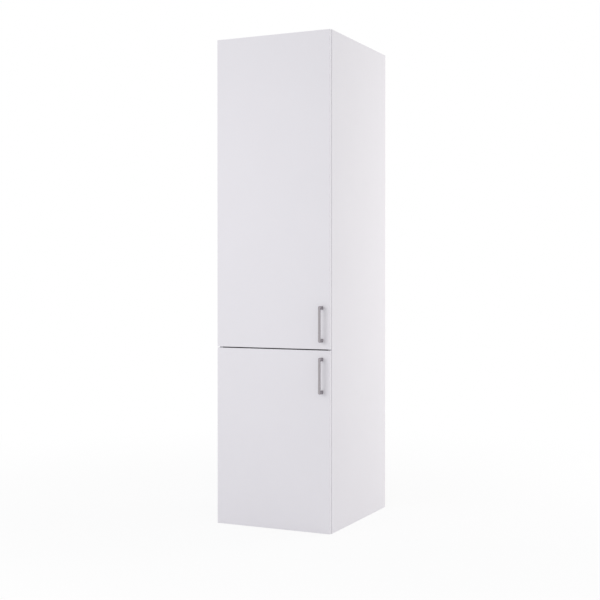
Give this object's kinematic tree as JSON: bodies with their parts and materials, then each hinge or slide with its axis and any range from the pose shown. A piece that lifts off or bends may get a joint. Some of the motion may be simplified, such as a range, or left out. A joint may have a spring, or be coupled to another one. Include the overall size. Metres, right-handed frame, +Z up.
{
  "type": "tall cabinet",
  "caption": "Tall narrow storage cabinet: plain white board carcass with shelves inside, slab doors one above the other on cup hinges, and grey bow handles beside the door line.",
  "frame": {"origin": "on the floor, in the middle of the box that holds the cabinet with its handles", "axes": "+Z up, doors and handles face -Y, +X to the right seen from the front"},
  "size_m": [0.5, 0.6316, 1.97],
  "materials": {
    "white_faced_board": "matt white melamine facing on chipboard",
    "white_edge_band": "matt white ABS band",
    "white_hardboard": "white lacquered hardboard",
    "white_plastic": "moulded white plastic",
    "satin_nickel": "satin nickel",
    "nickel_plated_steel": "nickel plated",
    "zinc_plated_steel": "bright zinc plated",
    "zinc_alloy": "die-cast zinc",
    "beech": "plain beech",
    "ferrite": "sintered, dull",
    "clear_rubber": "soft clear pad"
  },
  "bodies": {
    "carcass": {"back_joint_strip": "white_plastic", "bottom_panel": "white_faced_board", "bottom_rail": "white_faced_board", "cam_bolts": "zinc_plated_steel", "cam_caps": "white_plastic", "cam_locks": "zinc_alloy", "carcass_edge_bands": "white_edge_band", "catch_housings": "white_plastic", "catch_magnets": "ferrite", "catch_screws": "zinc_plated_steel", "dowels": "beech", "fixed_shelf": "white_faced_board", "hinge_arm_screws": "zinc_plated_steel", "hinge_plate_screws": "zinc_plated_steel", "left_side_panel": "white_faced_board", "lower_back_panel": "white_hardboard", "lower_hinge_arm_1": "nickel_plated_steel", "lower_hinge_arm_2": "nickel_plated_steel", "lower_hinge_plate_1": "nickel_plated_steel", "lower_hinge_plate_2": "nickel_plated_steel", "lower_shelf_1": "white_faced_board", "lower_shelf_1_pins": "nickel_plated_steel", "middle_rail": "white_faced_board", "right_side_panel": "white_faced_board", "top_panel": "white_faced_board", "top_rail": "white_faced_board", "upper_back_panel": "white_hardboard", "upper_hinge_arm_1": "nickel_plated_steel", "upper_hinge_arm_2": "nickel_plated_steel", "upper_hinge_arm_3": "nickel_plated_steel", "upper_hinge_plate_1": "nickel_plated_steel", "upper_hinge_plate_2": "nickel_plated_steel", "upper_hinge_plate_3": "nickel_plated_steel", "upper_shelf_1": "white_faced_board", "upper_shelf_1_pins": "nickel_plated_steel", "upper_shelf_2": "white_faced_board", "upper_shelf_2_pins": "nickel_plated_steel", "upper_shelf_3": "white_faced_board", "upper_shelf_3_pins": "nickel_plated_steel"},
    "upper_door": {"upper_cup_screws": "zinc_plated_steel", "upper_door_bumpers": "clear_rubber", "upper_door_edge_bands": "white_edge_band", "upper_door_panel": "white_faced_board", "upper_handle": "satin_nickel", "upper_handle_screws": "zinc_plated_steel", "upper_hinge_cup_1": "nickel_plated_steel", "upper_hinge_cup_2": "nickel_plated_steel", "upper_hinge_cup_3": "nickel_plated_steel", "upper_hinge_pins": "zinc_plated_steel", "upper_strike_plate": "zinc_plated_steel"},
    "lower_door": {"lower_cup_screws": "zinc_plated_steel", "lower_door_bumpers": "clear_rubber", "lower_door_edge_bands": "white_edge_band", "lower_door_panel": "white_faced_board", "lower_handle": "satin_nickel", "lower_handle_screws": "zinc_plated_steel", "lower_hinge_cup_1": "nickel_plated_steel", "lower_hinge_cup_2": "nickel_plated_steel", "lower_hinge_pins": "zinc_plated_steel", "lower_strike_plate": "zinc_plated_steel"}
  },
  "joints": [
    {"name": "upper_door_swing", "type": "hinge", "parent": "carcass", "child": "upper_door", "pos_m": [-0.2421, -0.27575, 0.72], "axis": [0, 0, -1], "range_deg": [0, 95]},
    {"name": "lower_door_swing", "type": "hinge", "parent": "carcass", "child": "lower_door", "pos_m": [-0.2421, -0.27575, 0.72], "axis": [0, 0, -1], "range_deg": [0, 95]}
  ]
}
